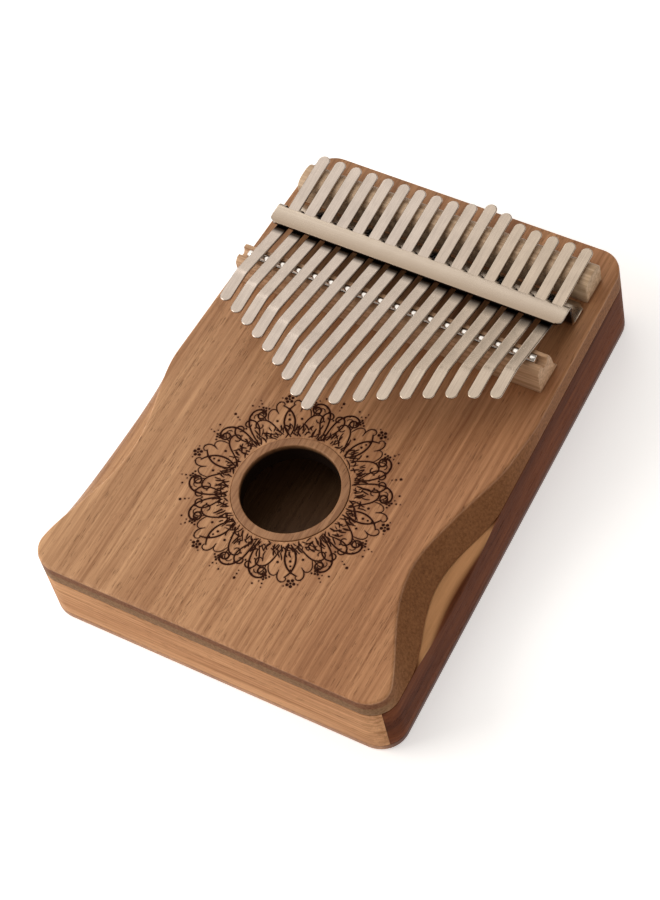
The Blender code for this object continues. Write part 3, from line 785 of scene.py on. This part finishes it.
def to_plan(path):
    """Turn (u, y) into the tapering box's (x, y)."""
    return np.stack([path[:, 0] * half_width(path[:, 1]) / MIDDLE_HALF, path[:, 1]], 1)


def add_tube(name, points, layers=None, sharp=35.0):
    """Join a row of closed sections into one piece, and fill the first and the last section."""
    rows, columns = points.shape[:2]
    ends = (range(columns), range((rows - 1) * columns, rows * columns))
    return add_piece(name, points, grid_quads(rows, columns, False, True), layers, ends, sharp)


def wall_material(name, colours, along, seed):
    """Wall wood with the sanded crescent paler, and the inside of the box painted dark as painted shade.
    """
    nodes = wood(name, *colours, along=along, seed=seed, shine=0.48, gloss=0.03)
    shade = nodes.between(nodes.noise((500, 20, 500)), 0.3, 0.7, (0.82, 0.80, 0.76), (1.06, 1.05, 1.04))
    nodes.stain(nodes.layer("fresh"), nodes.blend(1.0, FRESH, shade, "MULTIPLY"))
    # Painted shade: the inner face is painted near black.
    nodes.stain(nodes.layer("inside"), (0.035, 0.018, 0.010))
    return nodes.material


# %% The four walls
SIDES = ("Y", (0, MITRE), "side_wood",
         ((0.26, 0.080, 0.028), (0.165, 0.047, 0.015), (0.078, 0.020, 0.007)))
ENDS = ("X", (MITRE, 0), "end_wood",
        ((0.70, 0.405, 0.215), (0.60, 0.325, 0.165), (0.49, 0.245, 0.118)))
for name, node, path, scoop_here, seed, (along, gap, slot, colours) in (
        ("right_wall", "right_side_board", side_path(1), 1.0, 5.1, SIDES),
        ("left_wall", "left_side_board", side_path(-1), 0.0, 3.1, SIDES),
        ("head_wall", "head_board", end_path(1), 0.0, 8.3, ENDS),
        ("tail_wall", "tail_board", end_path(-1), 0.0, 6.3, ENDS)):
    outer = to_plan(path)
    inner = inner_edge(outer)
    outer[0] += gap
    outer[-1] -= gap
    points, fresh, inside = wall_points(outer, inner, scoop_here)
    wall = add_tube(name, points, {"fresh": fresh, "inside": inside}, sharp=50)
    finish_piece(wall, wall_material(name + "_wood", colours, along, seed), "case", slot, node)

# %% [markdown]
# ## The back
# A thin board closes the box. It follows the same outline, with its lower edge rounded so that
# it doesn't scratch the hands. Its upper face is the floor of the box, which is seen through the
# hole only as deep brown shadow, so its colour is painted dark as painted shade. Its long flanks are
# as dark as the side
# walls above them.

# %% Back board
back_directions = np.linspace(-math.pi, math.pi, 480, endpoint=False)


def no_scoop(y, right):
    """The full outline."""
    return 0 * y


def slab_row(share, trim, z):
    """The outline drawn in toward the middle of the board by a share."""
    return at_height(outline_at(back_directions, no_scoop, trim, 0.0) * share, z)


UNDER_RADIUS = 1.0 * MM
rows = [slab_row(share, UNDER_RADIUS, back_low[2]) for share in (0.0, 0.3, 0.6, 0.85, 1.0)]
rows += [slab_row(1.0, trim, back_low[2] + rise) for trim, rise in softened(UNDER_RADIUS)]
rows += [slab_row(1.0, 0.0, BACK_TOP - 0.15 * MM), slab_row(1.0, 0.15 * MM, BACK_TOP)]
rows += [slab_row(share, 0.15 * MM, BACK_TOP) for share in (0.84, 0.83, 0.5, 0.0)]
back = np.stack(rows)
# The upper face, the floor of the box, is marked for painted shade.
inside = np.zeros(back.shape[:2])
inside[-3:] = 1.0
flank = smooth_step(0.0, 5 * MM, np.abs(back[:, :, 0]) - half_width(back[:, :, 1]) + 6 * MM)
back_layers = {"inside": inside, "flank": flank}
back_piece = add_piece("back_of_box", back, grid_quads(*back.shape[:2], False, True), back_layers)
nodes = wood("back_wood", (0.54, 0.295, 0.152), (0.46, 0.235, 0.116), (0.37, 0.178, 0.084), seed=9.4)
nodes.stain(nodes.layer("flank"), nodes.blend(1.0, nodes.colour, (0.34, 0.23, 0.20), "MULTIPLY"))
# Painted shade: the floor of the box is painted half way to near black.
nodes.stain(nodes.layer("inside"), nodes.blend(0.55, nodes.colour, (0.012, 0.007, 0.004)))
finish_piece(back_piece, nodes.material, "case", "back_wood", "back_board")

# %% [markdown]
# ## The two bridges
# Both are sawn from a pale, close-grained wood and left nearly raw. The rear one has a rounded
# top that the tines run over. The front one is straight toward the tail, hollowed toward the
# head, and grooved on top for the rod. A section carried from end to end makes them, and the
# first and last sections are drawn in a little so that the ends have a softened rim.

# %% Carry a section from end to end
def sawn_bar(section, half_length, rim, stations=40):
    """Sections along X; near both ends they shrink toward their middle by the rim."""
    inner = np.linspace(-half_length + rim, half_length - rim, stations)
    first, last = [-half_length, -half_length + rim * 0.3], [half_length - rim * 0.3, half_length]
    x = np.concatenate([first, inner, last])
    shrink = np.concatenate([[rim, rim * 0.3], np.zeros(stations), [rim * 0.3, rim]])
    away = unit(section - section.mean(axis=0))
    plan = section[None] - away[None] * shrink[:, None, None]
    return np.concatenate([np.broadcast_to(x[:, None, None], plan.shape[:2] + (1,)), plan], axis=2)


# %% Rear bridge
rear_low, rear_high = as_arrays(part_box("rear_bridge"))
arch = np.radians(np.linspace(0, 180, 25))
rear_middle = (rear_low[1] + rear_high[1]) / 2
rear_half = (rear_high[1] - rear_low[1]) / 2
shoulder = TOP + 7.0 * MM
crown_y = rear_middle + rear_half * np.cos(arch)
crown_z = shoulder + (rear_high[2] - shoulder) * np.clip(np.sin(arch), 0, 1) ** 0.8
feet = np.array([(rear_low[1], rear_low[2]), (rear_high[1], rear_low[2])])
rear_section = np.concatenate([feet, np.stack([crown_y, crown_z], 1)])
rear_bridge = add_tube("rounded_rear_bridge", sawn_bar(rear_section, rear_high[0], 0.5 * MM))
nodes = wood("pale_rear_bridge_wood", (0.70, 0.53, 0.37), (0.62, 0.45, 0.30),
             (0.52, 0.36, 0.22), along="X", seed=12.0, pores=0.35, bands=0.7, shine=0.46)
finish_piece(rear_bridge, nodes.material, "case", "bridge_wood", "rear_bridge")

# %% Front bridge and its rod
front_low, front_high = as_arrays(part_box("front_bridge"))
rod_low, rod_high = as_arrays(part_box("bridge_rod"))
rod_y = (rod_low[1] + rod_high[1]) / 2
rod_z = (rod_low[2] + rod_high[2]) / 2
groove = 1.8 * MM
lip = math.asin((front_high[2] - rod_z) / groove)
valley = np.linspace(lip, -math.pi - lip, 17)
front_section = np.concatenate([
    [(front_low[1], front_low[2]), (front_high[1], front_low[2])],
    np.stack([front_high[1] - np.array([0.2, 1.3, 1.9, 2.3, 2.6, 3.0, 3.8, 4.5]) * MM,
              TOP + np.array([0.9, 2.2, 3.8, 5.4, 7.0, 8.8, 10.9, 11.9]) * MM], 1),
    np.stack([rod_y + groove * np.cos(valley), rod_z + groove * np.sin(valley)], 1),
    [(front_low[1] + 1.4 * MM, front_high[2]), (front_low[1] + 0.2 * MM, front_high[2] - 1.2 * MM),
     (front_low[1], front_high[2] - 1.6 * MM)],
])
front_points = sawn_bar(front_section, front_high[0], 0.35 * MM)
front_bridge = add_tube("grooved_front_bridge", front_points, sharp=25)
nodes = wood("pale_front_bridge_wood", (0.69, 0.46, 0.30), (0.60, 0.39, 0.24),
             (0.50, 0.31, 0.18), along="X", seed=15.0, pores=0.4, bands=0.8, shine=0.5)
finish_piece(front_bridge, nodes.material, "case", "bridge_wood", "front_bridge")

# %% [markdown]
# ## Steel
# The tines and the strip are spring steel with a satin nickel finish, rolled and then brushed
# lengthwise, with a warm tone. The rod is polished, and the screws are blackened. Metal is one
# shader with its metallic value at one: what makes it real is the roughness, which varies along
# the brush lines, and the faint waviness of rolled sheet. Where the strip covers the tines, and a
# little way in front of it, the steel is painted dark: painted shade under the strip, and a painted
# reflection of its dark underside in front. The web and the underside of the strip are painted dark
# as painted shade too.

# %% Brushed and polished metal
def brushed(name, tint, shade, rough, line_scale, seed, zones=()):
    """Brush lines are a noise squeezed along their own direction, in tint and in roughness.

    A zone is (axis, four places along it, colour) of painted shade: the steel takes on the colour
    from the first place to the second and clears again from the third to the fourth.
    """
    nodes = Nodes(name)
    lines = nodes.noise(line_scale, (seed, seed * 1.7, seed * 0.6), roughness=0.65)
    clouds = nodes.noise((140, 140, 140), detail=3)
    tone = nodes.math("ADD", nodes.math("MULTIPLY", lines, 0.6), nodes.math("MULTIPLY", clouds, 0.4))
    nodes.paint(nodes.between(tone, 0.35, 0.65, shade, tint))
    for axis, places, stain in zones:
        along = nodes.axis(axis)
        entered = nodes.remap(along, places[0], places[1])
        not_left = nodes.remap(along, places[2], places[3], 1.0, 0.0)
        nodes.stain(nodes.math("MULTIPLY", entered, not_left), stain)
    height = nodes.math("ADD", nodes.math("MULTIPLY", lines, 0.12), nodes.math("MULTIPLY", clouds, 0.88))
    nodes.surface({"Roughness": nodes.remap(lines, 0.3, 0.7, rough - 0.05, rough + 0.08),
                   "Metallic": 1.0, "Normal": nodes.bump(height, 0.12 * MM, 0.35)})
    return nodes.material


angle = full_turn(48)
rod_radius = (rod_high[1] - rod_low[1]) / 2
rod_section = np.stack([rod_y + rod_radius * np.cos(angle), rod_z + rod_radius * np.sin(angle)], 1)
rod = add_tube("polished_rod", sawn_bar(rod_section, rod_high[0], 0.3 * MM), sharp=50)
rod_finish = brushed("polished_rod_steel", (0.90, 0.87, 0.83), (0.74, 0.70, 0.66), 0.12,
                     (60, 2200, 2200), 1.0)
finish_piece(rod, rod_finish, "case", "rod_steel", "bridge_rod")

# %% [markdown]
# ## The pressure strip
# One sheet is folded into a flange that is screwed down, an upright web, and the strip that lies
# over the tines. A slot in the web lets each tine through. It is made as a maker would: a thin
# sheet laid out as a grid along the folded section, the cells of the slots left out, and then
# Solidify gives it the sheet's thickness and Bevel breaks its edges.

# %% Folded sheet
strip_low, strip_high = as_arrays(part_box("pressure_strip"))
SHEET = 1.2 * MM
TINES = sorted(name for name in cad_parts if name.startswith("tine_"))
tine_boxes = {name: as_arrays(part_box(name)) for name in TINES}
tine_x = np.array([(low[0] + high[0]) / 2 for low, high in tine_boxes.values()])
SLOT = 4.9 * MM
WEB_Y = 59.6 * MM
FOLD = 1.6 * MM
low_z = strip_low[2] + SHEET / 2
high_z = strip_high[2] - SHEET / 2
low_fold = np.radians(np.linspace(270, 180, 6))
high_fold = np.radians(np.linspace(0, 90, 7))
slot_floor = TOP + 8.6 * MM
section = np.concatenate([
    np.stack([np.linspace(strip_high[1], WEB_Y + FOLD, 5)[:-1], np.full(4, low_z)], 1),
    np.stack([WEB_Y + FOLD + FOLD * np.cos(low_fold), low_z + FOLD + FOLD * np.sin(low_fold)], 1),
    [(WEB_Y, slot_floor)],
    np.stack([WEB_Y - FOLD + FOLD * np.cos(high_fold), high_z - FOLD + FOLD * np.sin(high_fold)], 1),
    np.stack([np.linspace(WEB_Y - FOLD, strip_low[1], 6)[1:], np.full(5, high_z)], 1),
])
slot_edges = np.sort(np.concatenate([tine_x - SLOT / 2, tine_x + SLOT / 2]))
rim = 2.2 * MM
FLANGE_TOP = TOP + 6 * MM
corner_steps = rim * (1 - np.cos(np.radians([0, 30, 60, 90])))
ends = strip_high[0] - corner_steps
sheet_x = np.sort(np.concatenate([slot_edges, ends, -ends]))
free_edge = np.where(section[:, 1] < FLANGE_TOP,
                     strip_high[1] - section[:, 0], section[:, 0] - strip_low[1])
pulled = rim - np.sqrt(np.clip(rim ** 2 - np.clip(rim - free_edge, 0, rim) ** 2, 0, None))
limit = strip_high[0] - pulled
sheet_xx = np.clip(sheet_x[None, :], -limit[:, None], limit[:, None])
sheet = np.stack([sheet_xx, np.broadcast_to(section[:, :1], sheet_xx.shape),
                  np.broadcast_to(section[:, 1:], sheet_xx.shape)], axis=-1)
quads = grid_quads(*sheet.shape[:2], False, False)
centres = sheet.reshape(-1, 3)[quads].mean(axis=1)
slot_roof = high_z - FOLD * (1 - math.sin(math.radians(72)))
in_slot = (np.abs(centres[:, :1] - tine_x[None, :]) < SLOT / 2).any(axis=1)
in_slot &= (centres[:, 2] > slot_floor) & (centres[:, 2] < slot_roof)
quads = quads[~(in_slot & (centres[:, 1] > WEB_Y - FOLD))]
strip = add_piece("folded_strip", sheet, quads, sharp=30)
thick = strip.modifiers.new("sheet_thickness", "SOLIDIFY")
thick.thickness = SHEET
thick.offset = 0.0
thick.use_even_offset = True
soft_edges = strip.modifiers.new("broken_edges", "BEVEL")
soft_edges.width = 0.28 * MM
soft_edges.segments = 2
soft_edges.limit_method = "ANGLE"
soft_edges.angle_limit = math.radians(50)
# Near-black painted shade for the hollow under the strip, and for the tines under it and just in front of
# it.
PAINTED_SHADE_COLOUR = (0.035, 0.027, 0.022)
painted_shade_places = (low_z + 1.0 * MM, low_z + 2.4 * MM, high_z - 0.1 * MM, high_z + 0.35 * MM)
painted_shade_under_strip = ("Z", painted_shade_places, PAINTED_SHADE_COLOUR)
# Painted shade: the top of the strip is painted darker toward its tail edge, standing in for the fall-off
# of its reflection.
tail_edge_painted_shade = ("Y", (51.0 * MM, 51.2 * MM, 52.2 * MM, 56.5 * MM), (0.36, 0.28, 0.21))
strip_finish = brushed("satin_strip_steel", (0.56, 0.475, 0.39), (0.50, 0.42, 0.34), 0.19,
                       (18, 3200, 3200), 3.0, zones=(tail_edge_painted_shade, painted_shade_under_strip))
finish_piece(strip, strip_finish, "case", "strip_steel", "pressure_strip")

# %% [markdown]
# ## The screws
# Five small blackened screws hold the flange. A head is a shallow dome with a cross pressed into
# it. The dome is a height over radius and angle, and the cross is taken off where the point is
# close to either of two crossing lines.

# %% Screw heads
def screw_points(low, high):
    """Dome height falls with the fourth power of the radius; the cross sinks near both axes."""
    centre = (low + high) / 2
    head = (high[0] - low[0]) / 2
    angle = full_turn(64)
    share = np.concatenate([np.linspace(0, 0.92, 16), [0.97, 1.0]])
    radius = (head * share)[:, None]
    x = radius * np.cos(angle)
    y = radius * np.sin(angle)
    dome = high[2] - 0.75 * MM * (share ** 4)[:, None]
    arm = np.minimum(np.abs(x), np.abs(y)) / MM
    reach = np.maximum(np.abs(x), np.abs(y)) / MM
    cross = smooth_step(0.42, 0.22, arm) * smooth_step(1.55, 1.15, reach)
    z = dome - 0.65 * MM * cross
    side_rows = [(head, high[2] - 1.15 * MM), (head * 0.52, high[2] - 1.2 * MM),
                 (head * 0.5, low[2] + 1.0 * MM), (head * 0.1, low[2]), (0.0, low[2])]
    rows = [np.stack([x, y, np.broadcast_to(z, x.shape)], axis=-1)]
    circle = np.stack([np.cos(angle), np.sin(angle)], 1)
    rows += [at_height(circle * side_radius, height)[None] for side_radius, height in side_rows]
    points = np.concatenate(rows)
    points[:, :, :2] += centre[:2]
    return points


screw_finish = brushed("blackened_screw_steel", (0.10, 0.095, 0.09), (0.045, 0.042, 0.04), 0.34,
                       (900, 900, 900), 5.0)
for name in sorted(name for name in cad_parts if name.startswith("strip_screw_")):
    low, high = as_arrays(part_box(name))
    points = screw_points(low, high)
    screw = add_piece("cross_" + name, points, grid_quads(*points.shape[:2], False, True))
    finish_piece(screw, screw_finish, "case", "screw_steel", name)

# %% [markdown]
# ## The tines
# A tine is a flat spring with rounded ends and softened edges. Seen from above it is a stadium:
# two straight sides and two half circles. Its skin is that outline drawn in step by step, first
# around the softened edge, then toward the middle line. The flat stadium is then bent: its
# length follows the path over the rear bridge, under the strip, over the rod and down to the tip,
# and its thickness stands square to the path.

# %% Path of a tine in the (y, z) plane
TINE_THICK = 0.9 * MM
HALF_TINE = 2.1 * MM
CREST = np.array([75.5, 11.0]) * MM
PRESSED = np.array([53.5, 9.45]) * MM
ON_ROD = np.array([36.5, 13.7]) * MM
RISE_TO_TIP = 0.25
TIP_RUN = 12 * MM
BEND_REACH = 2.6 * MM


def tine_path(head_y, tip_y):
    """Straight runs joined by curves, with the heights measured from the sound board's face."""
    flat_y = tip_y + TIP_RUN
    flat_z = ON_ROD[1] + RISE_TO_TIP * (ON_ROD[0] - flat_y)
    corners = np.array([(head_y, 11.3 * MM), CREST, PRESSED, ON_ROD,
                        (flat_y, flat_z), (tip_y, flat_z - 0.6 * MM)])
    curve = corner_curves(corners[1:-1], corners[:-2], corners[2:], BEND_REACH, 8)
    return np.concatenate([corners[:1], curve, corners[-1:]]) + (0.0, TOP)


def tine_points(x_middle, head_y, tip_y):
    """A stadium, drawn in row by row, then laid along the path."""
    path = tine_path(head_y, tip_y)
    steps = np.linalg.norm(np.diff(path, axis=0), axis=1)
    run = np.concatenate([[0.0], np.cumsum(steps)])
    length = run[-1]
    straight = np.linspace(HALF_TINE, length - HALF_TINE, 90)
    tip_angle = np.linspace(-math.pi / 2, math.pi / 2, 19)[1:-1]
    no_bulge, tip_bulge = 0 * straight, np.cos(tip_angle)
    across = np.cos(tip_angle + math.pi / 2)
    core_x = np.concatenate([no_bulge + 1, across, no_bulge - 1, -across])
    core_s = np.concatenate([straight, 0 * across + length - HALF_TINE,
                             straight[::-1], 0 * across + HALF_TINE])
    round_s = np.concatenate([no_bulge, tip_bulge, no_bulge, -tip_bulge])
    half = TINE_THICK / 2
    soft = 0.30 * MM
    turn = np.radians(np.linspace(0, 90, 5))
    trims = np.concatenate([[HALF_TINE, HALF_TINE * 0.5, soft * 1.6], soft * (1 - np.sin(turn))])
    rounded = half - soft * (1 - np.cos(turn))
    heights = np.concatenate([[half - 0.02 * MM, half - 0.01 * MM, half], rounded])
    trims = np.concatenate([trims, trims[::-1]])
    heights = np.concatenate([heights, -heights[::-1]])
    side = (HALF_TINE - trims)[:, None] * core_x[None, :]
    along = core_s[None, :] + (HALF_TINE - trims)[:, None] * round_s[None, :]
    y = np.interp(along, run, path[:, 0])
    z = np.interp(along, run, path[:, 1])
    slope = np.gradient(path, run, axis=0)
    slope_y = np.interp(along, run, slope[:, 0])
    slope_z = np.interp(along, run, slope[:, 1])
    lift = heights[:, None] / np.hypot(slope_y, slope_z)
    return np.stack([x_middle + side, y + lift * slope_z, z - lift * slope_y], axis=-1)


# The higher-numbered tines on the right are painted in a darker, warmer tint: a painted reflection of the
# dim warm room.
PALE_TINT, WARM_REFLECTION_TINT = np.array([(0.60, 0.515, 0.45), (0.55, 0.455, 0.365)])
for number, name in enumerate(TINES):
    painted_reflection_share = smooth_step(5, 14, number)
    tint = PALE_TINT * (1 - painted_reflection_share) + WARM_REFLECTION_TINT * painted_reflection_share
    # Painted shade where the strip covers the tine, and a painted reflection of the strip's dark
    # underside just in front of it. It reaches further on the right-hand tines.
    painted_shade_and_reflection_zone = ("Y", ((47.7 - 2.5 * painted_reflection_share) * MM, 49.6 * MM, 56.0 * MM, 58.0 * MM), PAINTED_SHADE_COLOUR)
    low, high = tine_boxes[name]
    points = tine_points((low[0] + high[0]) / 2, high[1], low[1])
    tine = add_piece("bent_" + name, points, grid_quads(*points.shape[:2], False, True))
    finish = brushed(name + "_satin_steel", tuple(tint), tuple(tint * 0.78), 0.20,
                     (1500, 22, 1500), 6.0 + number * 1.37, zones=(painted_shade_and_reflection_zone,))
    finish_piece(tine, finish, name, "tine_steel", name)
print("tines:", len(TINES))

# %% [markdown]
# ## Floor, light and camera
# The instrument lies on a plain pale floor. A large soft box hangs over its left side, and it is
# what most of the satin steel mirrors. A smaller window at the tail's left lights the tail wall
# and leaves the right side in shade. A card beyond the head, on the left, is mirrored by the
# sloping ends of the tines, and the warm dim room fills the rest.

# %% Floor
floor_nodes = Nodes("pale_floor")
floor_nodes.surface({"Base Color": (0.92, 0.92, 0.92), "Roughness": 0.9, "Specular IOR Level": 0.1,
                     "Emission Color": (1.0, 1.0, 1.0), "Emission Strength": 0.50})
floor_mesh = bpy.data.meshes.new("floor")
REACH = 12.0
floor_corners = [(REACH * right, REACH * up, 0) for right, up in ((-1, -1), (1, -1), (1, 1), (-1, 1))]
floor_mesh.from_pydata(floor_corners, [], [(0, 1, 2, 3)])
floor_mesh.materials.append(floor_nodes.material)
floor = put_in_scene("floor", floor_mesh)
floor.location.z = cad_box[0][2] - 0.2 * MM

# %% Lights
def soft_light(name, place_at, aim_at, size, power, colour):
    """A square light that faces a point."""
    data = bpy.data.lights.new(name, "AREA")
    data.shape = "SQUARE"
    data.size = size
    data.energy = power
    data.color = colour
    item = put_in_scene(name, data)
    item.location = place_at
    item.rotation_euler = (Vector(aim_at) - Vector(place_at)).to_track_quat("-Z", "Y").to_euler()


soft_light("overhead_softbox", (-0.70, 0.15, 1.30), (0.0, 0.0, 0.02), 1.9, 10.2, (1.0, 0.98, 0.95))
soft_light("tail_left_window", (-0.50, -0.35, 0.45), (0.0, 0.0, 0.02), 0.45, 2.7, (1.0, 0.97, 0.93))
soft_light("head_left_card", (-0.86, 1.21, 0.86), (0.0, 0.0, 0.03), 0.85, 2.0, (1.0, 0.97, 0.93))
world = bpy.data.worlds.new("pale_room")
world.use_nodes = True
room = world.node_tree.nodes["Background"]
room.inputs["Color"].default_value = (1.0, 0.90, 0.80, 1.0)
room.inputs["Strength"].default_value = 0.30
bpy.context.scene.world = world
bpy.context.scene.view_settings.view_transform = "Standard"

# %% [markdown]
# The camera looks down from the right of the tail, turned a little about its own axis, with a
# long lens. Its place is worked out from a target point, two angles and a distance.

# %% Camera
AZIMUTH, ELEVATION, ROLL = 42.045, 55.963, 15.172
DISTANCE = 923.37 * MM
TARGET = Vector((-2.72, -7.45, 16.0)) * MM
azimuth, elevation, roll = (math.radians(value) for value in (AZIMUTH, ELEVATION, ROLL))
level = math.cos(elevation)
back_way = Vector((level * math.sin(azimuth), -level * math.cos(azimuth), math.sin(elevation)))
level_right = Vector((0, 0, 1)).cross(back_way).normalized()
level_up = back_way.cross(level_right)
right = level_right * math.cos(roll) - level_up * math.sin(roll)
up = level_up * math.cos(roll) + level_right * math.sin(roll)
lens = bpy.data.cameras.new("view")
lens.sensor_width = 36.0
lens.lens = 111.04
lens.clip_start = 0.01
lens.clip_end = 20.0
camera = put_in_scene("view", lens)
turn = Matrix((right, up, back_way)).transposed()
camera.matrix_world = Matrix.LocRotScale(TARGET + back_way * DISTANCE, turn.to_quaternion(), None)
bpy.context.scene.camera = camera
print("camera at", [round(value, 3) for value in camera.location])
